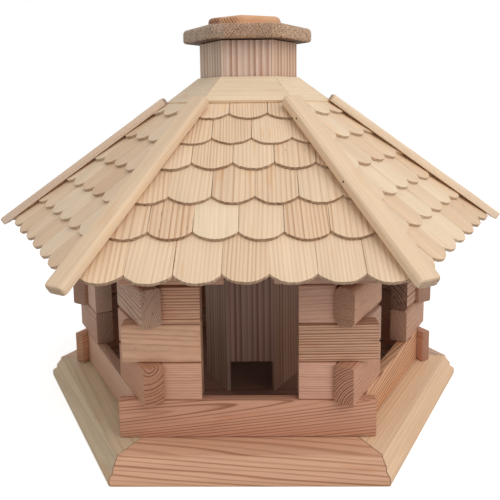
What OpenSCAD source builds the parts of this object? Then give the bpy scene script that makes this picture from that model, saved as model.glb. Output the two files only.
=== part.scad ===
// Hexagonal wooden bird feeder: stacked-log walls, shingled roof and a seed silo that ends as the chimney.
// Millimetres, +Z up. The origin is the middle of the base's underside, and one flat side faces -Y.

/* [Base] */
// Width of the base ring across its flats, at the foot
base_af = 466; // [440:1:520]
// Height of the base boards
base_h = 27; // [23:1:40]
// Width of each base board
base_board_w = 72; // [56:1:90]
// Height of the upright foot of the moulded edge
foot_h = 9; // [4:0.5:10]
// Rounding under the foot
foot_round = 3; // [1:0.5:3.5]
// Width of the bevel above the foot
low_bevel_w = 5; // [2:0.5:8]
// Height of the bevel above the foot
low_bevel_h = 4; // [2:0.5:5]
// Height of the upright between the two bevels
waist_h = 4; // [0.5:0.5:4]
// Width of the upper bevel
top_bevel_w = 5.2; // [1:0.1:10]
// Height of the upright lip under the top face
lip_h = 2.5; // [0.5:0.5:2.5]
// Thickness of the floor plate let into the ring
floor_t = 5; // [4:0.5:10]
// Depth of the rebate that holds the floor plate
rebate_w = 6; // [3:0.5:12]

/* [Walls] */
// Distance between the outer faces of two opposite walls
wall_af = 385; // [350:1:400]
// Height of the sill boards
sill_h = 40; // [25:1:60]
// Thickness of the sill boards
sill_t = 12; // [8:0.5:20]
// Height of one log
log_h = 40; // [30:1:50]
// Thickness of one log
log_t = 21; // [16:0.5:26]
// Rounding of the logs' long edges
log_round = 3; // [1:0.5:5]
// How far a lapping log or sill runs past the corner
overhang = 17; // [8:1:25]
// Width of the doorways
door_w = 97; // [70:1:110]
// Width of the gap in the top row of logs
crown_w = 49; // [30:1:60]
// Height of the wall plate at its outer face
plate_h = 28; // [18:1:50]

/* [Roof] */
// Slope of the roof in degrees
pitch = 40; // [30:1:48]
// Width of the roof across its eaves
eave_af = 522; // [470:1:560]
// Thickness of the roof boards
deck_t = 8; // [6:0.5:14]
// Thickness of the shingles
shingle_t = 4; // [2:0.5:6]
// Thickness of the bed that the shingle courses lie on
bed_t = 4; // [2:0.5:8]
// How far the first course reaches past the roof boards
drip = 12; // [6:1:20]
// Exposed length of a course of shingles
course = 42; // [30:1:60]
// Thickness of the collar boards
collar_t = 3.5; // [2.5:0.5:6]
// Length of the collar boards down the slope
collar_w = 41; // [30:1:60]

/* [Hip battens] */
// Width of a batten
batten_w = 22; // [14:1:30]
// Thickness of a batten
batten_t = 10.5; // [7:0.5:14]
// Rounding of a batten's upper edges
batten_round = 4.5; // [1:0.5:5]
// Rounding of a batten's lower edges
batten_ease = 0.8; // [0.2:0.2:1.6]
// Rounding of a batten's corners, seen from above
batten_corner = 3; // [1:0.5:6]
// How far a batten runs past the eave corner
batten_reach = 18; // [0:1:40]
// How far a batten's low end stands clear of the first course
batten_lift = 1.5; // [0:0.5:4]
// Joint gap between a batten and the collar
collar_gap = 0.5; // [0:0.1:2]

/* [Silo and chimney] */
// Width of the silo and chimney across their flats
silo_af = 104.5; // [80:0.5:120]
// Thickness of the silo boards
silo_t = 5; // [4:0.5:8]
// Height of the seed outlets above the floor plate
outlet_h = 38.5; // [25:0.5:55]
// Height of the chimney above the collar
chimney_h = 39.5; // [25:0.5:80]

/* [Lid] */
// Width of the lid plate across its flats
lid_af = 141; // [126:0.5:180]
// Thickness of the lid plate
lid_t = 16.5; // [12:0.5:25]
// Rounding of the lid plate's rim
lid_round = 5; // [2:0.5:6]
// Shadow gap between the chimney and the lid plate
lid_gap = 1; // [0.5:0.1:3]
// Width of the handle block across its flats
knob_af = 87; // [50:1:110]
// Height of the handle block
knob_h = 12; // [10:1:30]
// Rounding of the handle block's top edges
knob_round = 5; // [2:0.5:8]
// How far the handle block is turned on the lid
knob_turn = 25; // [0:1:60]
// Depth of the plug that keeps the lid in place
plug_h = 12; // [6:1:25]
// Clearance around the plug
plug_clear = 5; // [2:0.5:8]

/* [Hidden] */

// The sides, anticlockwise from the front: even ones lap on the even rows of logs, odd ones on the odd rows.
sides = ["front", "front_right", "back_right", "back", "back_left", "front_left"];
even_sides = [for (i = [0:2:5]) sides[i]];
odd_sides = [for (i = [1:2:5]) sides[i]];
log_rows = 4;

// Steps in a quarter of a rounding
arc_steps = 4;
// Longer than any piece of the feeder
reach = 2 * eave_af;

// Half widths across the flats
base_a = base_af / 2;
ring_a = base_a - base_board_w;
wall_a = wall_af / 2;
eave_a = eave_af / 2;
silo_a = silo_af / 2;

// Heights of the walls
sill_z = base_h;
logs_z = sill_z + sill_h;
plate_z = logs_z + log_rows * log_h;
bearing_z = plate_z + plate_h;

// The slope of each roof side runs through the lower edges of the shingle tips.
eave_z = bearing_z + (deck_t + bed_t) / cos(pitch) - (eave_a - wall_a) * tan(pitch);
collar_s = (eave_a - silo_a) / cos(pitch) - collar_w;
courses = floor(collar_s / course) + 1;
last_tip_s = (courses - 1) * course;
collar_bed = shingle_t * (1 - (collar_s - last_tip_s) / course);
chimney_z = slope_point(slope_length(silo_a, collar_bed + collar_t), collar_bed + collar_t)[1] + chimney_h;

// Place of a side in the list of sides
function order(side) = search([side], sides)[0];

// A point on a roof side's section: s up the slope from the first tips, h square to it. Gives [outwards, up].
function slope_point(s, h) = [
    eave_a - s * cos(pitch) + h * sin(pitch),
    eave_z + s * sin(pitch) + h * cos(pitch)
];

// Distance up the slope at which a surface at height h reaches the half width a
function slope_length(a, h) = (eave_a - a + h * sin(pitch)) / cos(pitch);

function arc(x, y, r, from, to) = [
    for (i = [0:arc_steps])
        let (t = from + (to - from) * i / arc_steps)
            [x + r * cos(t), y + r * sin(t)]
];

// Corner of an outline: an arc, or one point where it isn't rounded
function corner(x, y, r, from) = r > 0 ? arc(x, y, r, from, from + 90) : [[x, y]];

// Rectangle with its lower and upper corners rounded
function rounded_rect(x0, x1, y0, y1, r_low, r_high) = concat(
    corner(x1 - r_low, y0 + r_low, r_low, -90),
    corner(x1 - r_high, y1 - r_high, r_high, 0),
    corner(x0 + r_high, y1 - r_high, r_high, 90),
    corner(x0 + r_low, y0 + r_low, r_low, 180)
);

// Turns what is drawn for the front side to another side
module on_side(side) {
    rotate([0, 0, 60 * order(side)]) children();
}

// Extrudes a section [outwards, up] along the front side
module along_front(length) {
    rotate([90, 0, -90]) linear_extrude(height = length, center = true) children();
}

// The sixth of the plan that belongs to the front side
module front_sixth() {
    translate([0, 0, -reach / 2])
        linear_extrude(height = reach)
            polygon([[0, 0], [-reach * tan(30), -reach], [reach * tan(30), -reach]]);
}

// A section mitred to its neighbours at both ends
module mitred_front() {
    intersection() {
        along_front(reach) children();
        front_sixth();
    }
}

// The space between the inner faces of the two neighbouring walls
module between_neighbours(inner_a) {
    rotate([0, 0, 30]) cylinder(r = 2 * inner_a, h = reach, $fn = 3);
}

// Hexagonal plate with rounded rims
module rounded_hexagon(af, h, r_low, r_high) {
    intersection_for (turn = [0, 60, 120])
        rotate([0, 0, turn])
            along_front(2 * af) polygon(rounded_rect(-af / 2, af / 2, 0, h, r_low, r_high));
}

module base_board(side) {
    waist_a = base_a - low_bevel_w;
    waist_z = foot_h + low_bevel_h;
    lip_a = waist_a - top_bevel_w;
    on_side(side)
        color("burlywood")
            mitred_front()
                polygon(concat(
                    [[ring_a, floor_t], [ring_a + rebate_w, floor_t], [ring_a + rebate_w, 0]],
                    arc(base_a - foot_round, foot_round, foot_round, -90, 0),
                    [
                        [base_a, foot_h], [waist_a, waist_z], [waist_a, waist_z + waist_h],
                        [lip_a, base_h - lip_h], [lip_a, base_h], [ring_a, base_h]
                    ]
                ));
}

module floor_plate() {
    color("tan")
        cylinder(r = (ring_a + rebate_w) / cos(30), h = floor_t, $fn = 6);
}

module sill_board(side) {
    length = 2 * (wall_a * tan(30) + overhang);
    on_side(side)
        color("rosybrown")
            intersection() {
                translate([-length / 2, -wall_a, sill_z]) cube([length, sill_t, sill_h]);
                if (order(side) % 2 == 1) between_neighbours(wall_a - sill_t);
            }
}

// One log of the front side, from the doorway to past the right-hand corner
module log_stub(row) {
    gap_w = row == log_rows ? crown_w : door_w;
    length = wall_a * tan(30) + overhang - gap_w / 2;
    z = logs_z + (row - 1) * log_h;
    translate([(gap_w + length) / 2, 0, 0])
        along_front(length)
            polygon(rounded_rect(wall_a - log_t, wall_a, z, z + log_h, log_round, log_round));
}

module log_pair(row) {
    log_stub(row);
    mirror([1, 0, 0]) log_stub(row);
}

module lapping_logs(side) {
    on_side(side)
        color("peru")
            for (row = [1:log_rows])
                if (row % 2 == order(side) % 2) log_pair(row);
}

module butting_logs(side) {
    on_side(side)
        color("tan")
            for (row = [1:log_rows])
                if (row % 2 != order(side) % 2)
                    intersection() {
                        log_pair(row);
                        between_neighbours(wall_a - log_t);
                    }
}

module wall_plates(on_sides) {
    inner_z = bearing_z + log_t * tan(pitch);
    color("burlywood")
        for (side = on_sides)
            on_side(side)
                mitred_front()
                    polygon([
                        [wall_a - log_t, plate_z], [wall_a, plate_z],
                        [wall_a, bearing_z], [wall_a - log_t, inner_z]
                    ]);
}

module silo_boards(on_sides, foot_z) {
    color("wheat")
        for (side = on_sides)
            on_side(side)
                mitred_front()
                    polygon([
                        [silo_a - silo_t, foot_z], [silo_a, foot_z],
                        [silo_a, chimney_z], [silo_a - silo_t, chimney_z]
                    ]);
}

module roof_boards(on_sides) {
    low = -bed_t - deck_t;
    color("tan")
        for (side = on_sides)
            on_side(side)
                mitred_front()
                    polygon([
                        slope_point(drip, low), slope_point(drip, -bed_t),
                        slope_point(slope_length(silo_a, -bed_t), -bed_t),
                        slope_point(slope_length(silo_a, low), low)
                    ]);
}

// The courses as one stepped slab: each drops by a shingle's thickness at the next one's tips.
module shingle_courses(side) {
    underside = -shingle_t * drip / course;
    on_side(side)
        color("wheat")
            mitred_front()
                polygon(concat(
                    [for (i = [0:courses - 2]) each [
                        slope_point(i * course, 0),
                        slope_point(i * course, shingle_t)
                    ]],
                    [
                        slope_point(last_tip_s, 0),
                        slope_point(last_tip_s, shingle_t),
                        slope_point(collar_s, collar_bed),
                        slope_point(slope_length(silo_a, collar_bed), collar_bed),
                        slope_point(slope_length(silo_a, -bed_t), -bed_t),
                        slope_point(drip, -bed_t),
                        slope_point(drip, underside)
                    ]
                ));
}

module collar_boards(on_sides) {
    top = collar_bed + collar_t;
    color("wheat")
        for (side = on_sides)
            on_side(side)
                mitred_front()
                    polygon([
                        slope_point(collar_s, collar_bed), slope_point(collar_s, top),
                        slope_point(slope_length(silo_a, top), top),
                        slope_point(slope_length(silo_a, collar_bed), collar_bed)
                    ]);
}

// Battens over the hips: each leans on the last course's tips and ends at the collar's corner.
module hip_battens() {
    low_tip = slope_point(0, shingle_t);
    high_tip = slope_point(last_tip_s, shingle_t);
    collar_tip = slope_point(collar_s, collar_bed + collar_t);
    low_r = low_tip[0] / cos(30);
    high_r = high_tip[0] / cos(30);
    lean = atan2(high_tip[1] - low_tip[1] - batten_lift, low_r - high_r);
    foot_len = batten_reach;
    top_len = (low_r - collar_tip[0] / cos(30) - collar_gap) / cos(lean);
    length = foot_len + top_len;
    color("burlywood")
        for (side = sides)
            on_side(side)
                rotate([0, 0, -60])
                    translate([low_r, 0, low_tip[1] + batten_lift])
                        rotate([0, lean, 0])
                            translate([foot_len, 0, 0])
                                batten(length);
}

// A batten along -X from the origin, with rounded edges and ends
module batten(length) {
    intersection() {
        rotate([90, 0, -90])
            linear_extrude(height = length)
                polygon(rounded_rect(-batten_w / 2, batten_w / 2, 0, batten_t, batten_ease, batten_round));
        translate([0, batten_w / 2, 0])
            rotate([90, 0, 0])
                linear_extrude(height = batten_w)
                    polygon(rounded_rect(-length, 0, 0, batten_t, batten_ease, batten_round));
        linear_extrude(height = batten_t)
            polygon(rounded_rect(-length, 0, -batten_w / 2, batten_w / 2, batten_corner, batten_corner));
    }
}

module lid_plate() {
    color("tan")
        translate([0, 0, chimney_z + lid_gap])
            rounded_hexagon(lid_af, lid_t, lid_round, lid_round);
}

module lid_block() {
    color("sandybrown")
        translate([0, 0, chimney_z + lid_gap + lid_t])
            rotate([0, 0, knob_turn])
                rounded_hexagon(knob_af, knob_h, 0, knob_round);
}

module lid_plug() {
    color("tan")
        translate([0, 0, chimney_z + lid_gap - plug_h])
            cylinder(r = (silo_a - silo_t - plug_clear) / cos(30), h = plug_h, $fn = 6);
}

base_board("front");  // base_front
base_board("front_right");  // base_front_right
base_board("back_right");  // base_back_right
base_board("back");  // base_back
base_board("back_left");  // base_back_left
base_board("front_left");  // base_front_left
floor_plate();
sill_board("front");  // sill_front
sill_board("front_right");  // sill_front_right
sill_board("back_right");  // sill_back_right
sill_board("back");  // sill_back
sill_board("back_left");  // sill_back_left
sill_board("front_left");  // sill_front_left
lapping_logs("front");  // lapping_logs_front
lapping_logs("front_right");  // lapping_logs_front_right
lapping_logs("back_right");  // lapping_logs_back_right
lapping_logs("back");  // lapping_logs_back
lapping_logs("back_left");  // lapping_logs_back_left
lapping_logs("front_left");  // lapping_logs_front_left
butting_logs("front");  // butting_logs_front
butting_logs("front_right");  // butting_logs_front_right
butting_logs("back_right");  // butting_logs_back_right
butting_logs("back");  // butting_logs_back
butting_logs("back_left");  // butting_logs_back_left
butting_logs("front_left");  // butting_logs_front_left
wall_plates(even_sides);  // long_side_wall_plates
wall_plates(odd_sides);  // short_side_wall_plates
silo_boards(even_sides, floor_t + outlet_h);  // silo_short_boards
silo_boards(odd_sides, floor_t);  // silo_long_boards
roof_boards(even_sides);  // roof_boards_even
roof_boards(odd_sides);  // roof_boards_odd
shingle_courses("front");  // shingles_front
shingle_courses("front_right");  // shingles_front_right
shingle_courses("back_right");  // shingles_back_right
shingle_courses("back");  // shingles_back
shingle_courses("back_left");  // shingles_back_left
shingle_courses("front_left");  // shingles_front_left
collar_boards(even_sides);  // collar_boards_even
collar_boards(odd_sides);  // collar_boards_odd
hip_battens();
lid_plate();
lid_block();
lid_plug();
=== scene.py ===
from bisect import bisect
import math
import random

import bmesh
import bpy
from mathutils import Matrix, Vector


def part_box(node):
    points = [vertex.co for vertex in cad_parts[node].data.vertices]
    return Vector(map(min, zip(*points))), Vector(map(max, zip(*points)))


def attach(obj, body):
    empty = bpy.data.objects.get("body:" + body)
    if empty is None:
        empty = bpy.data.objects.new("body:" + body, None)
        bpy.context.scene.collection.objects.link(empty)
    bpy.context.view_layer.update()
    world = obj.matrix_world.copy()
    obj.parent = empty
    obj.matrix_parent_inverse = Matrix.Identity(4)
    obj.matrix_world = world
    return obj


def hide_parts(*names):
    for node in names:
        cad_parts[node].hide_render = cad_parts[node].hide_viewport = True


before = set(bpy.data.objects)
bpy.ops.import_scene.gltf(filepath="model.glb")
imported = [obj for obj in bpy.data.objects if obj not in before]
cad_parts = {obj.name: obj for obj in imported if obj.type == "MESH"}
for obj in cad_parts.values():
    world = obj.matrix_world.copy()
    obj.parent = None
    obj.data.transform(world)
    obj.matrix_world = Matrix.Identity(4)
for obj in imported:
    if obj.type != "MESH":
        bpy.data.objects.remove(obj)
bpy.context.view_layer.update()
print("frame loaded")

# All lengths are in metres, all angles in degrees, and all colours as a screen shows them, from 0 to 255.
sideNames = ["front", "front_right", "back_right", "back", "back_left", "front_left"]
hexTan = math.tan(math.radians(30))
hexCos = math.cos(math.radians(30))
tiny = 1e-5

cameraSet = {
    "place": (0.0142, -0.7533, 0.3686),
    "heading": 1.06,   # turned left of straight ahead
    "down": 7.87,
    "roll": -0.75,
    "lens": 42.72,
    "shift": -0.14,
}


def makeCamera():
    data = bpy.data.cameras.new("camera")
    data.sensor_width = 36
    data.lens = cameraSet["lens"]
    data.shift_y = cameraSet["shift"]
    data.clip_start = 0.01
    camera = bpy.data.objects.new("camera", data)
    bpy.context.scene.collection.objects.link(camera)
    camera.matrix_world = (
        Matrix.Translation(cameraSet["place"])
        @ Matrix.Rotation(math.radians(cameraSet["heading"]), 4, "Z")
        @ Matrix.Rotation(math.radians(90 - cameraSet["down"]), 4, "X")
        @ Matrix.Rotation(math.radians(cameraSet["roll"]), 4, "Z")
    )
    bpy.context.scene.camera = camera


makeCamera()
print("camera placed")


class Wire:
    # A shader socket: Python's operators add Math and Vector Math nodes.
    def __init__(self, shader, socket):
        self.shader = shader
        self.socket = socket

    def apply(self, operation, *others):
        return self.shader.math(operation, self, *others)

    def other(self, output):
        return Wire(self.shader, self.socket.node.outputs[output])

    def __add__(self, value):
        return self.apply("ADD", value)

    def __sub__(self, value):
        return self.apply("SUBTRACT", value)

    def __mul__(self, value):
        return self.apply("MULTIPLY", value)

    def __truediv__(self, value):
        return self.apply("DIVIDE", value)

    def __rsub__(self, value):
        return self.shader.math("SUBTRACT", value, self)

    __radd__ = __add__
    __rmul__ = __mul__


class Shader:
    # The nodes of a material or a world
    def __init__(self, owner, surface="Principled BSDF"):
        owner.use_nodes = True
        self.tree = owner.node_tree
        self.surface = self.tree.nodes[surface]

    def feed(self, socket, value):
        if isinstance(value, Wire):
            self.tree.links.new(value.socket, socket)
        elif socket.type in ("VECTOR", "RGBA") and isinstance(value, (int, float)):
            socket.default_value = [value] * len(socket.default_value)
        elif socket.type == "RGBA":
            socket.default_value = (*value, 1.0)
        else:
            socket.default_value = value

    def node(self, kind, settings, sockets, output=0):
        made = self.tree.nodes.new(kind)
        for key, value in settings.items():
            setattr(made, key, value)
        for key, value in sockets.items():
            self.feed(made.inputs[key], value)
        return Wire(self, made.outputs[output])

    def math(self, operation, *values):
        wires = [v for v in values if isinstance(v, Wire)]
        solid = any(w.socket.type in ("VECTOR", "RGBA") for w in wires)
        kind = "ShaderNodeVectorMath" if solid else "ShaderNodeMath"
        output = "Value" if operation == "LENGTH" or not solid else "Vector"
        return self.node(kind, {"operation": operation}, dict(enumerate(values)), output)

    def mix(self, factor, first, second):
        return self.node("ShaderNodeMix", {"data_type": "RGBA"}, {0: factor, 6: first, 7: second}, 2)

    def fade(self, value, start, end):
        # From 0 to 1 as the value goes from start to end
        return self.node(
            "ShaderNodeMapRange", {"interpolation_type": "SMOOTHSTEP"},
            {"Value": value, "From Min": start, "From Max": end},
        )

    def noise(self, where, detail=2.0):
        return self.node("ShaderNodeTexNoise", {}, {"Vector": where, "Scale": 1.0, "Detail": detail}, "Fac")

    def attribute(self, name):
        return self.node("ShaderNodeAttribute", {"attribute_name": name}, {}, "Vector")

    def split(self, vector):
        first = self.node("ShaderNodeSeparateXYZ", {}, {0: vector})
        return first, first.other(1), first.other(2)


def linear(colour):
    return tuple(((value / 255 + 0.055) / 1.055) ** 2.4 for value in colour)


woodBasics = {
    "ring": 0.0032,     # usual distance between growth rings
    "uneven": 3.0,      # how much that distance varies
    "wander": 0.006,    # how far the rings stray
    "late": (0.48, 0.34, 0.25),    # the share of the board's colour left in the dark part of a ring
    "stain": (0.94, 0.76, 0.60),   # the same in its few warm stains
    "streak": 0.26,
    "cloud": 0.22,
    "ramp": 0.42,       # where in a year's growth its dark part begins
    "grit": 0.0,        # speckle of rough end grain
    "end": (0.10, 0.03, 0.0),      # where bare end grain goes as it darkens
    "rough": 0.62,
    "bump": 0.0003,
    "plainPith": (0.3, 0.07, 0.05),
}

# Waves a metre of the wood's noises, along the grain and across it
woodWaves = {
    "stray": (2.2, 16.0, 16.0),
    "ripple": (16.0, 60.0, 60.0),
    "fibre": (9.0, 420.0, 420.0),
    "cloud": (5.0, 30.0, 30.0),
    "stain": (14.0, 70.0, 70.0),
    "fleck": (90.0, 420.0, 420.0),
    "grit": (60.0, 540.0, 540.0),
    "spacing": 85.0,    # of what changes the distance between rings, outward from the pith
}


def makeWood(name, plainTint=None, **changes):
    # Wood as the mesh's own attributes tell, or of one tint with its pith beside the object.
    look = {**woodBasics, **changes}
    material = bpy.data.materials.new(name)
    s = Shader(material)
    if plainTint:
        grain = s.node("ShaderNodeTexCoord", {}, {}, "Object") + look["plainPith"]
        tint, rings, endDark, flecks = linear(plainTint), 0.5, 0.0, 0.0
    else:
        grain = s.attribute("grain")
        tint = s.attribute("tint")
        rings, endDark, flecks = s.split(s.attribute("figure"))
    radius = (grain * (0.0, 1.0, 1.0)).apply("LENGTH")
    if look["wander"]:
        stray = s.noise(grain * woodWaves["stray"]) - 0.5
        ripple = s.noise(grain * woodWaves["ripple"]) - 0.5
        radius = radius + stray * look["wander"] + ripple * (look["wander"] * 0.16)
    years = radius / look["ring"]
    if look["uneven"]:
        outward = s.node("ShaderNodeCombineXYZ", {}, {2: radius * woodWaves["spacing"]})
        years = years + s.noise(outward) * look["uneven"]
    season = years.apply("FRACT")
    late = s.fade(season, look["ramp"], 0.86) * (1.0 - s.fade(season, 0.90, 1.0))
    year = years.apply("FLOOR")
    yearTone = s.node("ShaderNodeTexWhiteNoise", {"noise_dimensions": "1D"}, {"W": year}, "Value")
    late = late * (yearTone * 0.6 + 0.4)
    fibre = s.noise(grain * woodWaves["fibre"], 3.0) - 0.5
    cloud = s.noise(grain * woodWaves["cloud"]) - 0.5
    stain = s.fade(s.noise(grain * woodWaves["stain"]), 0.62, 0.74)
    fleck = s.fade(s.noise(grain * woodWaves["fleck"], 1.0), 0.66, 0.74)

    colour = s.mix(late * rings, (1.0, 1.0, 1.0), look["late"]) * tint
    colour = s.mix(stain * 0.5, colour, colour * look["stain"])
    colour = colour * (1.0 - fleck * flecks * 0.5)
    colour = colour * (fibre * look["streak"] + cloud * look["cloud"] + 1.0)
    if look["grit"]:
        colour = colour * ((s.noise(grain * woodWaves["grit"], 1.0) - 0.5) * look["grit"] + 1.0)
    colour = s.mix(endDark * (fibre * 1.6 + 1.0), colour, colour * look["end"])
    s.feed(s.surface.inputs["Base Color"], colour)
    s.surface.inputs["Specular IOR Level"].default_value = 0.3
    s.feed(s.surface.inputs["Roughness"], late * -0.12 + fibre * 0.1 + look["rough"])
    height = late * rings + fibre
    relief = s.node("ShaderNodeBump", {}, {"Strength": 1.0, "Distance": look["bump"], "Height": height})
    s.feed(s.surface.inputs["Normal"], relief)
    return material


looks = {
    "base": makeWood("base_wood", ring=0.0040, wander=0.0035, uneven=2.4, ramp=0.55),
    "sill": makeWood("sill_wood", ring=0.0031, wander=0.0015, uneven=1.5, ramp=0.5),
    "log": makeWood("log_wood", ring=0.0028, wander=0.003, grit=0.3),
    "silo": makeWood("silo_wood", ring=0.0066, wander=0, uneven=0, ramp=0.1, late=(0.50, 0.36, 0.28)),
    "shingle": makeWood("shingle_wood", ring=0.0036, wander=0.0018, uneven=1.2, late=(0.66, 0.50, 0.38)),
    "collar": makeWood("collar_wood", late=(0.90, 0.82, 0.72), wander=0.012),
    "batten": makeWood(
        "batten_wood", ring=0.0017, wander=0.002, uneven=1.5, late=(0.77, 0.65, 0.52), streak=0.2,
        stain=(0.95, 0.83, 0.70),
    ),
    "plate": makeWood("lid_plate_wood", ring=0.0024, wander=0.006, grit=1.9, late=(0.40, 0.28, 0.20)),
    "block": makeWood("lid_block_wood", ring=0.0030, wander=0.001, uneven=0.4, late=(0.30, 0.19, 0.13)),
    "inner": makeWood("inner_wood", (166, 126, 108)),
}
print("materials made")


def sideTurn(number):
    return Matrix.Rotation(math.radians(60 * number), 4, "Z")


def centredOn(point):
    return Matrix.Translation(-Vector(point))


def block(low, high):
    bm = bmesh.new()
    bmesh.ops.create_cube(bm, size=1)
    low, high = Vector(low), Vector(high)
    bmesh.ops.scale(bm, vec=high - low, verts=bm.verts)
    bmesh.ops.translate(bm, vec=(low + high) / 2, verts=bm.verts)
    return bm


def sectionAlongX(points, length):
    # A board of one section, given by (y, z) pairs
    bm = bmesh.new()
    bmesh.ops.contextual_create(bm, geom=[bm.verts.new((-length / 2, y, z)) for y, z in points])
    run = bmesh.ops.extrude_face_region(bm, geom=bm.faces[:])
    moved = [v for v in run["geom"] if isinstance(v, bmesh.types.BMVert)]
    bmesh.ops.translate(bm, vec=(length, 0, 0), verts=moved)
    bmesh.ops.recalc_face_normals(bm, faces=bm.faces)
    return bm


def roundOff(bm, edges, radius, segments):
    bmesh.ops.bevel(
        bm, geom=edges, offset=radius, offset_type="OFFSET", affect="EDGES",
        segments=segments, profile=0.5, material=-1, clamp_overlap=True,
    )


def alongX(edge):
    run = edge.verts[1].co - edge.verts[0].co
    return abs(run.x) > 0.99 * run.length


def edgesAt(bm, y, z):
    # The lengthwise edges of a section that pass through (y, z)
    return [
        e for e in bm.edges
        if alongX(e) and abs(e.verts[0].co.y - y) < tiny and abs(e.verts[0].co.z - z) < tiny
    ]


def uprightEdges(bm):
    return [e for e in bm.edges if abs(e.verts[0].co.z - e.verts[1].co.z) > 0.001]


def rimEdges(bm, height):
    return [e for e in bm.edges if all(abs(v.co.z - height) < tiny for v in e.verts)]


def easeSharp(bm, radius, segments=1, angle=50):
    sharp = [e for e in bm.edges if len(e.link_faces) == 2 and e.calc_face_angle() > math.radians(angle)]
    roundOff(bm, sharp, radius, segments)


def cutOff(bm, point, normal):
    everything = bm.verts[:] + bm.edges[:] + bm.faces[:]
    cut = bmesh.ops.bisect_plane(
        bm, geom=everything, dist=1e-6, plane_co=point, plane_no=normal, clear_outer=True
    )
    rim = [e for e in cut["geom_cut"] if isinstance(e, bmesh.types.BMEdge)]
    if rim:
        bmesh.ops.contextual_create(bm, geom=rim)


def mitre(bm, gap=0.0001):
    # Cuts both ends on the planes that the side shares with its neighbours.
    for hand in (-1, 1):
        normal = Vector((hand * hexCos, 0.5, 0))
        cutOff(bm, normal * -gap, normal)


def neighbourCut(bm, distance, gap=0.0002):
    # Ends a butting board on the inner faces of the two neighbouring walls.
    for hand in (-1, 1):
        normal = Vector((hand * hexCos, -0.5, 0))
        cutOff(bm, normal * (distance - gap), normal)


def drawCut(draw, tints, **known):
    # How a board lay in its trunk and what it looks like: by chance, apart from what is known.
    # The tilt is in degrees, and the pith's place is beside and above the board's middle.
    cut = {
        "pith": (
            draw.choice((-1, 1)) * draw.uniform(0.005, 0.05),
            draw.choice((-1, 1)) * draw.uniform(0.02, 0.06),
        ),
        "tilt": (draw.uniform(-2, 2), draw.uniform(-2, 2)),
        "start": draw.uniform(0, 9),
        "tint": draw.choice(tints),
        "density": draw.uniform(0.8, 1.3),
        "rings": draw.uniform(0.45, 0.9),
        "flecks": draw.random() ** 4,
        "endShade": 0.72,
        "sideRings": 1,
    }
    return {**cut, **known}


def addGrain(bm, toGrain, cut):
    # Stores on the mesh what the wood materials read.
    bmesh.ops.recalc_face_normals(bm, faces=bm.faces)
    grain = bm.verts.layers.float_vector.new("grain")
    tint = bm.faces.layers.float_vector.new("tint")
    figure = bm.faces.layers.float_vector.new("figure")
    aside, upward = cut["tilt"]
    lean = Matrix.Rotation(math.radians(aside), 4, "Z") @ Matrix.Rotation(math.radians(upward), 4, "Y")
    trunk = lean @ toGrain
    for v in bm.verts:
        p = trunk @ v.co
        y, z = p.y - cut["pith"][0], p.z - cut["pith"][1]
        v[grain] = (p.x + cut["start"], y * cut["density"], z * cut["density"])
    turn = toGrain.to_3x3()
    for f in bm.faces:
        # from 0 on the sides to 1 on bare end grain
        end = min(1.0, max(0.0, (abs((turn @ f.normal).x) - 0.5) * 3))
        f[tint] = linear(cut["tint"])
        share = cut["sideRings"] + end * (1 - cut["sideRings"])
        f[figure] = (cut["rings"] * share, end * (1 - cut["endShade"]), cut["flecks"])
    return bm


def makePiece(name, boards, look, body, nodes, smooth=35):
    whole = bmesh.new()
    scrap = bpy.data.meshes.new("scrap")
    for bm, place in boards:
        bm.transform(place)
        bm.to_mesh(scrap)
        whole.from_mesh(scrap)
        bm.free()
    mesh = bpy.data.meshes.new(name)
    whole.to_mesh(mesh)
    whole.free()
    bpy.data.meshes.remove(scrap)
    mesh.shade_smooth()
    mesh.set_sharp_from_angle(angle=math.radians(smooth))
    mesh.materials.append(looks[look])
    piece = bpy.data.objects.new(name, mesh)
    bpy.context.scene.collection.objects.link(piece)
    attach(piece, body)
    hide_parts(*nodes)
    return piece


baseSet = {
    "length": 0.32,           # of a board before it is mitred
    "footRound": 0.003,
    "foot": 0.009,            # height of the upright foot
    "lowBevel": (0.005, 0.004),
    "waist": 0.004,
    "topBevel": 0.0052,
    "lip": 0.0025,
    "soft": 0.0008,           # rounding of the edges between the flats
    "ease": 0.0004,
    "mitreGap": 0.0003,
    "tints": [(216, 180, 152), (208, 176, 150)],
    "cuts": {
        "front": {
            "pith": (-0.042, -0.06), "tilt": (0, -4), "tint": (216, 168, 136), "density": 1, "rings": 0.8,
        },
        "front_right": {
            "pith": (0.12, -0.2), "tilt": (0.3, 0), "tint": (230, 194, 158), "density": 1.9, "rings": 0.36,
        },
        "front_left": {
            "pith": (0.02, -0.08), "tilt": (0, 1), "tint": (204, 181, 150), "density": 1.2, "rings": 0.3,
        },
    },
}


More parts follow.
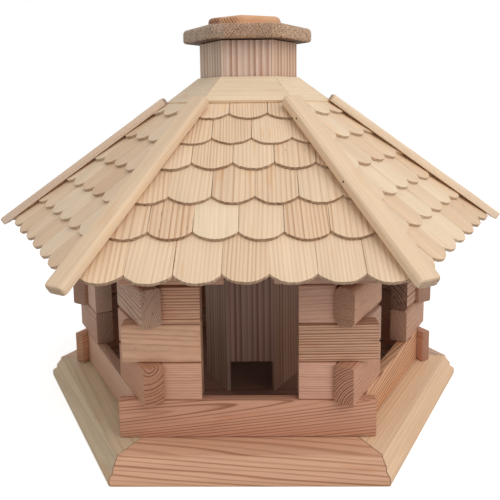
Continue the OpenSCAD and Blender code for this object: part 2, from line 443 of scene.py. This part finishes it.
def makeBase():
    b = baseSet
    low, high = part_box("base_front")
    floorLow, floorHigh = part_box("floor_plate")
    outer, inner, top, rebate = low.y, high.y, high.z, floorLow.y
    waistOut = outer + b["lowBevel"][0]
    waistUp = b["foot"] + b["lowBevel"][1]
    lipOut = waistOut + b["topBevel"]
    rounds = [
        (outer, 0, b["footRound"], 4), (outer, b["foot"], b["soft"], 2),
        (lipOut, top - b["lip"], b["soft"], 2), (lipOut, top, b["soft"], 2), (inner, top, b["soft"], 2),
    ]
    for number, side in enumerate(sideNames):
        bm = sectionAlongX([
            (outer, 0), (outer, b["foot"]), (waistOut, waistUp), (waistOut, waistUp + b["waist"]),
            (lipOut, top - b["lip"]), (lipOut, top), (inner, top),
            (inner, floorHigh.z), (rebate, floorHigh.z), (rebate, 0),
        ], b["length"])
        for y, z, radius, segments in rounds:
            roundOff(bm, edgesAt(bm, y, z), radius, segments)
        mitre(bm, b["mitreGap"])
        easeSharp(bm, b["ease"])
        draw = random.Random(f"base {side}")
        cut = drawCut(draw, b["tints"], **b["cuts"].get(side, {}))
        addGrain(bm, centredOn((0, (outer + inner) / 2, top / 2)), cut)
        node = f"base_{side}"
        makePiece(f"{node}_board", [(bm, sideTurn(number))], "base", "house", [node])


makeBase()
print("base ring made")

sillSet = {
    "ease": 0.001,
    "gap": (0.0006, 0.0012),   # under a board's two ends
    "tints": [(206, 158, 130), (196, 146, 120), (212, 162, 128)],
    "cuts": {
        "front": {
            "pith": (-0.0134, 0.017), "tilt": (2.6, 6), "tint": (200, 148, 120), "density": 1,
            "rings": 0.95,
        },
        "front_right": {
            "pith": (-0.02, 0.03), "tilt": (4, 3), "tint": (214, 162, 124), "density": 0.7, "rings": 1.4,
        },
        "front_left": {"pith": (0.02, -0.08), "tilt": (0, 1), "tint": (198, 158, 132), "rings": 0.3},
    },
    "frontReach": 0.004,       # the front board runs this much further on its left
}


def makeSills():
    s = sillSet
    low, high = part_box("sill_front")
    for number, side in enumerate(sideNames):
        draw = random.Random(f"sill {side}")
        bm = block(low, high)
        for v in bm.verts:
            if side == "front" and v.co.x < 0:
                v.co.x -= s["frontReach"]
            if v.co.z < low.z + tiny:
                v.co.z += s["gap"][(number + (v.co.x > 0)) % 2]
        if number % 2:
            neighbourCut(bm, -high.y)
        easeSharp(bm, s["ease"], 2)
        addGrain(bm, centredOn((low + high) / 2), drawCut(draw, s["tints"], **s["cuts"].get(side, {})))
        node = f"sill_{side}"
        makePiece(f"{node}_board", [(bm, sideTurn(number))], "sill", "house", [node])


makeSills()
print("sills made")

logSet = {
    "rows": 4,
    "edgeRound": 0.0026,
    "endRound": 0.0009,
    "gap": 0.0007,
    "frontShift": 0.0014,   # the front's logs sit this far to the right
    "lean": 0.12,           # most that a log lies off level
    "doorHalf": 0.0485,
    "crownHalf": 0.0245,
    "tints": [(204, 164, 136), (196, 152, 126), (210, 170, 138), (190, 150, 128)],
    # the logs round the front, by side, row and hand (-1 left of the doorway, 1 right of it)
    "cuts": {
        "front 1 -1": {
            "pith": (0.01, -0.07), "tilt": (0, 0), "tint": (208, 160, 132), "density": 1.1, "rings": 0.55,
        },
        "front 2 -1": {
            "pith": (0.03, -0.05), "tilt": (1, -3.5), "tint": (208, 164, 134), "density": 0.55, "rings": 0.45,
        },
        "front 3 -1": {
            "pith": (0.012, -0.06), "tilt": (0, 0.4), "tint": (200, 154, 126), "density": 1, "rings": 1.4,
        },
        "front 1 1": {
            "pith": (0.01, -0.07), "tilt": (0, -0.5), "tint": (212, 164, 140), "density": 1.3, "rings": 0.7,
        },
        "front 2 1": {
            "pith": (0.02, 0.05), "tilt": (0, 0.6), "tint": (200, 156, 128), "density": 1.2, "rings": 1.6,
            "flecks": 0.2,
        },
        "front 3 1": {"pith": (0.01, -0.04), "tilt": (2, 1.5), "tint": (198, 154, 132), "rings": 0.4},
        "front_left 1 1": {
            "pith": (-0.003, 0.0215), "density": 0.7, "tint": (190, 140, 111), "rings": 1.0,
            "endShade": 0.82, "sideRings": 0.3, "round": 0.0012,
        },
        "front_left 3 1": {
            "pith": (0.045, -0.03), "density": 1.35, "tint": (196, 162, 138), "rings": 1.0, "endShade": 0.8,
            "flecks": 1.3, "round": 0.004,
        },
        "front_right 1 -1": {
            "pith": (-0.03, -0.03), "density": 1.3, "tint": (204, 152, 124), "rings": 1.8, "endShade": 0.8,
            "sideRings": 0.5, "round": 0.003,
        },
        "front_right 3 -1": {
            "pith": (0, -0.08), "density": 1.5, "tint": (204, 158, 130), "rings": 0.7, "endShade": 0.55,
            "flecks": 0.9, "round": 0.007,
        },
        "front_left 2 -1": {"rings": 0.35, "tint": (206, 172, 150), "endShade": 0.84},
        "front_left 3 -1": {"rings": 0.35, "endShade": 0.8},
        "front_right 2 1": {"density": 0.9, "rings": 1.6, "endShade": 0.42, "round": 0.005},
        "front_right 3 1": {"density": 0.9, "rings": 2.2, "endShade": 0.4, "round": 0.005},
    },
}


def makeLogs():
    g = logSet
    low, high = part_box("lapping_logs_front")
    rowHeight = (high.z - low.z) / (g["rows"] - 1)   # the front laps in its rows 2 to 4
    floorOfLogs = high.z - g["rows"] * rowHeight
    for number, side in enumerate(sideNames):
        groups = {"lapping": [], "butting": []}
        draw = random.Random(f"logs {side}")
        for row in range(1, g["rows"] + 1):
            kind = "lapping" if row % 2 == number % 2 else "butting"
            half = g["crownHalf"] if row == g["rows"] else g["doorHalf"]
            z = floorOfLogs + (row - 1) * rowHeight
            for hand in (-1, 1):
                cut = drawCut(draw, g["tints"], **g["cuts"].get(f"{side} {row} {hand}", {}))
                shift = g["frontShift"] if side == "front" else 0
                left, right = sorted((hand * half + shift, hand * high.x + shift))
                bottom, top = z + g["gap"] / 2, z + rowHeight - g["gap"] / 2
                bm = block((left, low.y, bottom), (right, high.y, top))
                middle = Vector(((left + right) / 2, (low.y + high.y) / 2, z + rowHeight / 2))
                lean = Matrix.Rotation(math.radians(draw.uniform(-g["lean"], g["lean"])), 4, "Y")
                bm.transform(Matrix.Translation(middle) @ lean @ centredOn(middle))
                if kind == "butting":
                    neighbourCut(bm, -high.y)
                roundOff(bm, [e for e in bm.edges if alongX(e)], cut.get("round", g["edgeRound"]), 5)
                easeSharp(bm, g["endRound"], 2)
                addGrain(bm, centredOn(middle), cut)
                groups[kind].append((bm, sideTurn(number)))
        for kind, boards in groups.items():
            node = f"{kind}_logs_{side}"
            makePiece(f"{node}_wood", boards, "log", "house", [node])


makeLogs()
print("logs made")

roofSet = {
    "slope": 40,
    "shingle": 0.004,    # height of a course over the one below
    "course": 0.042,
    "courses": 6,
    "drip": 0.012,
    "bed": (0.004, 0.0015),    # lower and upper face of the layer under the shingles, below the slope
    "collarThick": 0.0035,
    "collarWidth": 0.041,
}
slope = math.radians(roofSet["slope"])
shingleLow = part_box("shingles_front")[0]
eaveOut = -shingleLow.y - roofSet["shingle"] * math.sin(slope)
eaveUp = shingleLow.z
siloOut = -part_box("silo_short_boards")[0].y
# from the slope's own frame (x along the eave, y up the slope, z off it) to the front side
slopeFrame = Matrix.Translation((0, -eaveOut, eaveUp)) @ Matrix.Rotation(slope, 4, "X")
collarStart = (eaveOut - siloOut) / math.cos(slope) - roofSet["collarWidth"]
lastTip = (roofSet["courses"] - 1) * roofSet["course"]
collarBed = roofSet["shingle"] * (1 - (collarStart - lastTip) / roofSet["course"])


def slopePoint(along, off):
    # (distance from the axis, height) of a point of the roof's section
    return (
        eaveOut - along * math.cos(slope) + off * math.sin(slope),
        eaveUp + along * math.sin(slope) + off * math.cos(slope),
    )


def reachAlong(out, off):
    # How far up the slope a surface at the height off meets the distance out
    return (eaveOut - out + off * math.sin(slope)) / math.cos(slope)


def halfWidth(along):
    return slopePoint(along, 0)[0] * hexTan


shingleSet = {
    "width": 0.042,
    "length": 0.062,
    "thick": 0.0038,     # at the tip
    "head": 0.0008,      # at the hidden upper end
    "arc": 0.028,        # radius of the round tips
    "tipSteps": 12,
    "ragged": 0.0004,
    "bevel": 0.0006,
    "gap": 0.0005,
    # most that one shingle strays along the eave, up the slope, in its turn and in its tilt
    "stray": (0.0004, 0.0008, 0.7, 0.5),
    "endShade": (0.54, 0.40),    # of the rims on the other sides and on the front
    "pastHip": 0.003,    # how far the odd sides run under the battens
    # places of the tips up the slope, and where each row starts along the eave
    "tips": {
        "front": (-0.0047, 0.0415, 0.084, 0.1296, 0.165, 0.204),
        "front_right": (-0.002, 0.0385, 0.0795, 0.1225, 0.1655, 0.2055),
        "front_left": (-0.0055, 0.035, 0.077, 0.119, 0.1625, 0.206),
    },
    "starts": {
        "front": (0.021, -0.007, 0.0085, -0.014, 0.005, 0.022),
        "front_right": (-0.019, 0.005, -0.0204, -0.0054, 0.0112, 0.022),
        "front_left": (-0.0195, -0.0206, -0.0017, -0.0226, 0.0002, 0.009),
    },
    # how far the rows lift towards the side hips; the sign tells which end of the side lifts
    "rise": {"front_left": -0.004, "front_right": 0.0035},
    "usualTips": (-0.003, 0.0385, 0.0805, 0.1235, 0.165, 0.2055),
    "woods": {
        "pale": {"tint": (236, 211, 180), "rings": 0.15},
        "cream": {"tint": (234, 206, 174), "rings": 0.45},
        "tan": {"tint": (232, 202, 169), "rings": 0.75},
        "warm": {"tint": (229, 196, 163), "rings": 1.0},
    },
    "woodShares": (5, 5, 3, 1),    # how often each of them comes on the other sides
    # the front's woods from the left, row by row from the eave
    "frontWoods": (
        ("tan", "tan", "cream", "cream", "tan", "cream", "cream", "cream"),
        ("tan", "warm", "pale", "cream", "warm", "tan"),
        ("tan", "cream", "tan", "tan", "cream", "tan"),
        ("cream", "tan", "cream", "tan", "tan"),
        ("tan", "tan", "cream", "tan"),
        ("cream", "tan", "tan"),
    ),
}


def makeShingle(width, draw):
    s = shingleSet
    bm = bmesh.new()
    half = width / 2
    drop = s["arc"] - math.sqrt(s["arc"] ** 2 - half ** 2)
    first = bm.verts.new((-half, drop, 0))
    swing = 2 * math.asin(half / s["arc"])
    bmesh.ops.spin(
        bm, geom=[first], cent=(0, s["arc"], 0), axis=(0, 0, 1), angle=swing, steps=s["tipSteps"],
        use_duplicate=False,
    )
    tip = sorted(bm.verts, key=lambda v: v.co.x)
    for v in tip[1:-1]:
        v.co.y += draw.uniform(-1, 1) * s["ragged"]
    leftTop = bm.verts.new((-half, s["length"], 0))
    rightTop = bm.verts.new((half, s["length"], 0))
    for a, b in ((tip[0], leftTop), (leftTop, rightTop), (rightTop, tip[-1])):
        bm.edges.new((a, b))
    bmesh.ops.contextual_create(bm, geom=bm.edges[:])
    raised = bmesh.ops.extrude_face_region(bm, geom=bm.faces[:])
    top = [v for v in raised["geom"] if isinstance(v, bmesh.types.BMVert)]
    bmesh.ops.translate(bm, vec=(0, 0, s["thick"]), verts=top)
    for v in bm.verts:
        if v.co.z < tiny:
            v.co.z += (s["thick"] - s["head"]) * v.co.y / s["length"]
    bmesh.ops.recalc_face_normals(bm, faces=bm.faces)
    rim = [e for e in bm.edges if all(v in top for v in e.verts) and e.calc_length() < half]
    roundOff(bm, rim, s["bevel"], 2)
    return bm


def makeShingles():
    r, s = roofSet, shingleSet
    fall = math.atan(s["thick"] / r["course"])
    strayAside, strayUp, strayTurn, strayLift = s["stray"]
    for number, side in enumerate(sideNames):
        draw = random.Random(f"shingles {side}")
        boards = []
        bedLow, bedHigh = (-depth for depth in r["bed"])
        bed = block((-halfWidth(0), r["drip"], bedLow), (halfWidth(0), reachAlong(siloOut, 0), bedHigh))
        bed.transform(slopeFrame)
        mitre(bed)
        addGrain(bed, slopeFrame.inverted(), drawCut(draw, [s["woods"]["tan"]["tint"]]))
        boards.append((bed, sideTurn(number)))
        hipGap = -s["pastHip"] if number % 2 else s["gap"]
        rise = s["rise"].get(side, 0)
        for row, tip in enumerate(s["tips"].get(side, s["usualTips"])):
            edge = halfWidth(tip) + s["width"]
            start = s["starts"][side][row] if side in s["starts"] else draw.uniform(0, s["width"])
            x = start - math.ceil((edge + start) / s["width"]) * s["width"]
            kept = 0
            while x < edge:
                bm = makeShingle(s["width"] - s["gap"], draw)
                aside = x + s["width"] / 2 + draw.uniform(-strayAside, strayAside)
                place = (
                    slopeFrame
                    @ Matrix.Translation((0, tip + draw.uniform(-strayUp, strayUp), abs(rise) / 2))
                    @ Matrix.Rotation(-rise / 2 / halfWidth(0), 4, "Y")
                    @ Matrix.Translation((aside, 0, 0))
                    @ Matrix.Rotation(math.radians(draw.uniform(-strayTurn, strayTurn)), 4, "Z")
                    @ Matrix.Rotation(-fall + math.radians(draw.uniform(0, strayLift)), 4, "X")
                )
                bm.transform(place)
                mitre(bm, hipGap)
                if bm.faces:
                    kind = draw.choices(list(s["woods"]), s["woodShares"])[0]
                    if side == "front":
                        woods = s["frontWoods"][row]
                        kind = woods[min(kept, len(woods) - 1)]
                    toGrain = Matrix.Rotation(math.radians(-90), 4, "Z") @ place.inverted()
                    pith = (draw.choice((-1, 1)) * draw.uniform(0.04, 0.12), -draw.uniform(0.02, 0.06))
                    known = {"pith": pith, "flecks": draw.random() ** 8, **s["woods"][kind]}
                    known["endShade"] = s["endShade"][side == "front"]
                    cut = drawCut(draw, [None], **known)
                    addGrain(bm, toGrain, cut)
                    boards.append((bm, sideTurn(number)))
                    kept += 1
                x += s["width"]
        node = f"shingles_{side}"
        makePiece(f"{node}_wood", boards, "shingle", "house", [node], smooth=28)


makeShingles()
print("shingles made")

collarSet = {
    "ease": 0.0004,
    "droop": 0.004,    # of the boards' lower edges at the left and right corners:
    "drooping": ((1, True), (2, False), (4, True), (5, False)),   # these boards' right or left ends
    "tints": [(236, 212, 180), (232, 208, 178)],
}


def makeCollar():
    r, c = roofSet, collarSet
    top = collarBed + r["collarThick"]
    for kind in (0, 1):
        boards = []
        for number in range(kind, 6, 2):
            draw = random.Random(f"collar {number}")
            half = halfWidth(collarStart - c["droop"])
            bm = block((-half, collarStart, collarBed), (half, reachAlong(siloOut, collarBed), top))
            for v in bm.verts:
                if v.co.y < collarStart + tiny and (number, v.co.x > 0) in c["drooping"]:
                    v.co.y -= c["droop"]
            bm.transform(slopeFrame)
            mitre(bm)
            cutOff(bm, (0, -siloOut, 0), (0, 1, 0))   # plumb against the chimney
            easeSharp(bm, c["ease"])
            addGrain(bm, slopeFrame.inverted(), drawCut(draw, c["tints"], rings=0.5, flecks=0.15))
            boards.append((bm, sideTurn(number)))
        node = "collar_boards_" + ("odd" if kind else "even")
        makePiece(f"{node}_wood", boards, "collar", "house", [node])


makeCollar()
print("collar made")

battenSet = {
    "lowRound": 0.0008,
    "cornerRound": 0.0045,
    # how far a batten's low end runs past the eave and stands off the first course, how far its upper
    # end stays from the collar, how far it lies beside the hip, and its section
    "usual": {
        "reach": 0.0165, "lift": 0.001, "gap": 0.0005, "aside": -0.0022, "wide": 0.022, "thick": 0.0105,
        "round": 0.0035, "tint": (231, 203, 171),
    },
    # what differs, from the front left hip round by the right
    "fits": (
        {"lift": 0, "aside": 0.0005},
        {"lift": 0, "aside": -0.0042, "wide": 0.024, "reach": 0.0105, "round": 0.0045},
        {"gap": -0.001, "thick": 0.0095, "reach": 0.009, "round": 0.0022, "tint": (238, 216, 190)},
        {},
        {},
        {
            "gap": 0.002, "thick": 0.0095, "lift": 0.0035, "reach": 0.0172, "round": 0.0022,
            "tint": (228, 204, 182),
        },
    ),
    "rib": (0.004, 0.006),     # width and height of the strip that packs out the side and back battens, tinted darker as painted shade under them
    "ribInset": (0.003, 0.03),    # from the batten's upper and lower ends
    "ribInto": 0.001,
    # painted shade: the strip is darker than the battens, standing in for the shade beneath them
    "ribShadeTint": (156, 124, 100),
    "nails": (0.036, 0.135),   # distance of the heads from the upper end
    "nail": (0.0011, 0.0006),  # radius and thickness of a head
}


def makeBatten(upper, fit, draw):
    b = battenSet
    bm = block((-upper, -fit["wide"] / 2, 0), (fit["reach"], fit["wide"] / 2, fit["thick"]))
    roundOff(bm, uprightEdges(bm), b["cornerRound"], 4)
    roundOff(bm, rimEdges(bm, fit["thick"]), fit["round"], 5)
    roundOff(bm, rimEdges(bm, 0), b["lowRound"], 2)
    cut = drawCut(draw, [fit["tint"]], rings=draw.uniform(0.4, 0.8), flecks=0, endShade=0.55)
    return addGrain(bm, centredOn((-upper / 2, 0, fit["thick"] / 2)), cut)


def makeRib(upper):
    b = battenSet
    width, height = b["rib"]
    above, below = b["ribInset"]
    bm = block((-upper + above, -width / 2, -height), (-below, width / 2, b["ribInto"]))
    # darker than the batten wood: painted shade under the batten
    return addGrain(bm, Matrix(), drawCut(random.Random("rib"), [b["ribShadeTint"]]))


def makeNail(upper, fit, place):
    # A dark nail head, set in the batten's side
    radius, thick = battenSet["nail"]
    bm = bmesh.new()
    bmesh.ops.create_cone(bm, cap_ends=True, segments=10, radius1=radius, radius2=radius, depth=thick)
    bm.transform(Matrix.Rotation(math.radians(90), 4, "X"))
    bm.transform(Matrix.Translation((place - upper, -fit["wide"] / 2, fit["thick"] * 0.45)))
    known = {"rings": 0, "flecks": 1, "endShade": 1, "tint": (72, 54, 46)}
    return addGrain(bm, Matrix(), drawCut(random.Random("nail"), [None], **known))


def makeBattens():
    b, r = battenSet, roofSet
    lowTip = slopePoint(0, r["shingle"])
    highTip = slopePoint(lastTip, r["shingle"])
    collarTip = slopePoint(collarStart, collarBed + r["collarThick"])
    boards = []
    for number, change in enumerate(b["fits"]):
        fit = {**b["usual"], **change}
        lean = math.atan2(highTip[1] - lowTip[1] - fit["lift"], (lowTip[0] - highTip[0]) / hexCos)
        upper = ((lowTip[0] - collarTip[0]) / hexCos - fit["gap"]) / math.cos(lean)
        place = (
            Matrix.Rotation(math.radians(60 * number - 120), 4, "Z")
            @ Matrix.Translation((lowTip[0] / hexCos, fit["aside"], lowTip[1] + fit["lift"]))
            @ Matrix.Rotation(lean, 4, "Y")
        )
        boards.append((makeBatten(upper, fit, random.Random(f"batten {number}")), place))
        if number > 1:
            boards.append((makeRib(upper), place @ Matrix.Translation((0, -fit["aside"], 0))))
        if number == 1:
            boards += [(makeNail(upper, fit, nail), place) for nail in b["nails"]]
    makePiece("hip_battens_wood", boards, "batten", "house", ["hip_battens"])


makeBattens()
print("battens made")

siloSet = {
    "thick": 0.005,
    "spare": 0.004,             # cut off again at each mitre
    "mitreGap": 0.00025,
    "ribs": (0.0070, 0.0076),   # width of the ribs on the front board and on the others
    "overlap": 0.0020,          # of the long boards' edges over the short ones'
    "depth": 0.0005,            # of the grooves between them
    "slices": 90,
    "ringWidth": 0.0066,        # of the silo wood's pattern, one ring to a rib
    "tints": [(206, 180, 160), (200, 174, 152)],
    "cuts": {
        0: {"tint": (222, 193, 175), "rings": 1.0},
        1: {"tint": (218, 184, 158), "rings": 0.9},
        5: {"tint": (212, 189, 167), "rings": 0.8},
    },
    "roofed": 0.3,                  # below this height the boards are inside the house, where their colour is darkened: painted shade under the roof
    "roofShade": (0.97, 0.93, 0.94),   # where their colour has stayed deeper
}


def ribbed(bm, half, ribs, depth, start):
    # Presses ribs into the outer face, each steep on its left and fading to the right, and runs
    # the grain's rings along them.
    grain = bm.verts.layers.float_vector["grain"]
    for v in bm.verts:
        x = min(max(v.co.x, -half), half)
        rib = min(bisect(ribs, x), len(ribs) - 1)
        part = (x - ribs[rib - 1]) / (ribs[rib] - ribs[rib - 1])
        v[grain] = (v.co.z + start, (rib + part) * siloSet["ringWidth"], 0)
        if v.co.y < -siloOut + tiny:
            v.co.y += depth * (1 - min(part * 6, 1) * (1 - part * 0.8))


def makeSilo():
    s = siloSet
    half = siloOut * hexTan
    for kind, node in ((0, "silo_short_boards"), (1, "silo_long_boards")):
        low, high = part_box(node)
        boards = []
        for number in range(kind, 6, 2):
            draw = random.Random(f"silo {number}")
            reach = half + s["spare"]
            bm = block((-reach, -siloOut, low.z), (reach, -siloOut + s["thick"], high.z))
            mitre(bm, s["mitreGap"] + (-s["overlap"] if kind else s["overlap"]))
            for hand in (-1, 1):
                outward = Vector((hand * hexCos, -0.5, 0))
                cutOff(bm, outward * siloOut, outward)
            bmesh.ops.subdivide_edges(
                bm, edges=[e for e in bm.edges if alongX(e)], cuts=s["slices"], use_grid_fill=True
            )
            cut = drawCut(draw, s["tints"], **s["cuts"].get(number, {}))
            everything = bm.verts[:] + bm.edges[:] + bm.faces[:]
            bmesh.ops.bisect_plane(bm, geom=everything, plane_co=(0, 0, s["roofed"]), plane_no=(0, 0, 1))
            addGrain(bm, Matrix.Rotation(math.radians(90), 4, "Y"), cut)
            tint = bm.faces.layers.float_vector["tint"]
            # painted shade: the boards below the roof get a darker tint, standing in for the roof's shade
            roofShadedTint = linear(value * share for value, share in zip(cut["tint"], s["roofShade"]))
            for f in bm.faces:
                if f.calc_center_median().z < s["roofed"]:
                    f[tint] = roofShadedTint
            ribs = [-half - draw.uniform(0, 0.002)]
            while ribs[-1] < half:
                ribs.append(ribs[-1] + s["ribs"][number > 0] * draw.uniform(0.88, 1.12))
            ribbed(bm, half, ribs, s["depth"] * (0.5 if number else 1), cut["start"])
            boards.append((bm, sideTurn(number)))
        makePiece(f"{node}_wood", boards, "silo", "house", [node], smooth=25)


makeSilo()
print("silo made")

lidSet = {
    "plateRounds": (0.003, 0.0055),   # of its lower and upper rims
    "plateCorner": 0.007,
    # distances of the seams between the glued boards, and the boards' tints
    "plateSeams": (-0.025, 0.0, 0.03),
    "plateTints": ((172, 148, 126), (184, 150, 124), (180, 148, 122), (190, 158, 130)),
    "platePiths": ((0.1, -0.05), (0.06, -0.07), (-0.08, -0.06), (0.05, -0.02)),
    "plateRings": (0.3, 0.9, 0.8, 0.7),
    "blockRound": 0.005,
    "blockCorner": 0.007,
    "blockTurn": 25,
    "blockAcross": 0.087,
    "blockSeams": (-0.0157, 0.014),
    "blockTints": ((220, 170, 130), (176, 126, 98), (216, 168, 130)),
    "blockAside": -0.0025,
    "plateAside": -0.001,
    # painted shade: a dark tint on the plate's underside, for the shadow gap over the chimney
    "plateUndersideShade": (96, 70, 56),
}


def gluedBoards(panel, seams, direction):
    # Cuts a panel into the boards that it is glued from.
    direction = Vector(direction)
    places = (-1, *seams, 1)
    boards = []
    for near, far in zip(places, places[1:]):
        bm = panel.copy()
        cutOff(bm, direction * far, direction)
        cutOff(bm, direction * near, -direction)
        boards.append(bm)
    panel.free()
    return boards


def hexagon(across, low, high, corner):
    bm = bmesh.new()
    bmesh.ops.create_circle(bm, cap_ends=True, radius=across / 2 / hexCos, segments=6)
    bmesh.ops.translate(bm, vec=(0, 0, low), verts=bm.verts)
    raised = bmesh.ops.extrude_face_region(bm, geom=bm.faces[:])
    top = [v for v in raised["geom"] if isinstance(v, bmesh.types.BMVert)]
    bmesh.ops.translate(bm, vec=(0, 0, high - low), verts=top)
    bm.verts.ensure_lookup_table()
    point = bm.verts[0].co
    bm.transform(Matrix.Rotation(-math.atan2(point.y, point.x), 4, "Z"))
    bmesh.ops.recalc_face_normals(bm, faces=bm.faces)
    roundOff(bm, uprightEdges(bm), corner, 5)
    return bm


def makeLid():
    d = lidSet
    quarter = Matrix.Rotation(math.radians(90), 4, "Z")
    low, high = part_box("lid_plate")
    panel = hexagon(high.y - low.y, low.z, high.z, d["plateCorner"])
    for height, radius in zip((low.z, high.z), d["plateRounds"]):
        roundOff(panel, rimEdges(panel, height), radius, 5)
    boards = []
    for number, bm in enumerate(gluedBoards(panel, d["plateSeams"], (1, 0, 0))):
        cut = drawCut(
            random.Random(f"lid plate {number}"), [d["plateTints"][number]],
            pith=d["platePiths"][number], density=1, rings=d["plateRings"][number], flecks=1, endShade=0.85,
        )
        addGrain(bm, quarter @ centredOn((0, 0, (low.z + high.z) / 2)), cut)
        tint = bm.faces.layers.float_vector["tint"]
        # painted shade: the plate's underside gets the dark tint of the shadow gap beneath it
        for f in bm.faces:
            if f.normal.z < -0.99:
                f[tint] = linear(d["plateUndersideShade"])
        boards.append((bm, Matrix.Translation((d["plateAside"], 0, 0))))
    makePiece("lid_plate_wood", boards, "plate", "lid", ["lid_plate"])

    low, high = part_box("lid_block")
    panel = hexagon(d["blockAcross"], low.z, high.z, d["blockCorner"])
    roundOff(panel, rimEdges(panel, high.z), d["blockRound"], 5)
    boards = []
    for number, bm in enumerate(gluedBoards(panel, d["blockSeams"], (0, 1, 0))):
        cut = drawCut(
            random.Random(f"lid block {number}"), [d["blockTints"][number]],
            pith=(0.09, -0.09), tilt=(0, 1), density=1, rings=1.2, sideRings=0.15, flecks=0.1,
            endShade=0.95,
        )
        addGrain(bm, centredOn((0, 0, (low.z + high.z) / 2)), cut)
        turn = Matrix.Rotation(math.radians(d["blockTurn"]), 4, "Z")
        boards.append((bm, Matrix.Translation((d["blockAside"], 0, 0)) @ turn))
    makePiece("lid_block_wood", boards, "block", "lid", ["lid_block"])


makeLid()
print("lid made")

# The hidden boards keep their own shapes.
for node in (
    "floor_plate", "long_side_wall_plates", "short_side_wall_plates",
    "roof_boards_even", "roof_boards_odd", "lid_plug",
):
    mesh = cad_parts[node].data
    mesh.materials.clear()
    mesh.materials.append(looks["inner"])
print("hidden boards coloured")

stageSet = {
    "floor": 0.85,
    "floorSize": 12,
    "lift": 0.6,       # glow that the camera sees on the floor
    "world": 0.60,
    "key": 18.0,
    "keySize": 1.6,
    "keyPlace": (0.9, -1.3, 1.5),
    "keyAim": (0, 0, 0.2),
}


def makeFloor():
    bm = bmesh.new()
    bmesh.ops.create_grid(bm, x_segments=1, y_segments=1, size=stageSet["floorSize"])
    mesh = bpy.data.meshes.new("floor")
    bm.to_mesh(mesh)
    bm.free()
    floor = bpy.data.objects.new("floor", mesh)
    bpy.context.scene.collection.objects.link(floor)
    material = bpy.data.materials.new("floor_white")
    s = Shader(material)
    seen = s.node("ShaderNodeLightPath", {}, {}, "Is Camera Ray")
    s.feed(s.surface.inputs["Base Color"], (stageSet["floor"],) * 3)
    s.feed(s.surface.inputs["Roughness"], 1.0)
    s.feed(s.surface.inputs["Specular IOR Level"], 0.0)
    lift = seen * stageSet["lift"]
    glow = s.node("ShaderNodeCombineXYZ", {}, {0: lift, 1: lift, 2: lift})
    s.feed(s.surface.inputs["Emission Color"], glow)
    s.feed(s.surface.inputs["Emission Strength"], 1.0)
    mesh.materials.append(material)


def makeWorld():
    # Even studio light, which the camera, gloss and glass see as white
    world = bpy.data.worlds.new("studio")
    bpy.context.scene.world = world
    s = Shader(world, "Background")
    path = s.node("ShaderNodeLightPath", {}, {}, "Is Camera Ray")
    white = path.apply("MAXIMUM", path.other("Is Glossy Ray"))
    white = white.apply("MAXIMUM", path.other("Is Transmission Ray"))
    s.feed(s.surface.inputs["Color"], 1.0)
    s.feed(s.surface.inputs["Strength"], white * (1 - stageSet["world"]) + stageSet["world"])


def makeKey():
    light = bpy.data.lights.new("key", "AREA")
    light.energy = stageSet["key"]
    light.size = stageSet["keySize"]
    lamp = bpy.data.objects.new("key", light)
    bpy.context.scene.collection.objects.link(lamp)
    lamp.location = stageSet["keyPlace"]
    aim = Vector(stageSet["keyAim"]) - lamp.location
    lamp.rotation_euler = aim.to_track_quat("-Z", "Y").to_euler()


makeFloor()
makeWorld()
makeKey()
bpy.context.scene.view_settings.view_transform = "Standard"
print("stage made")
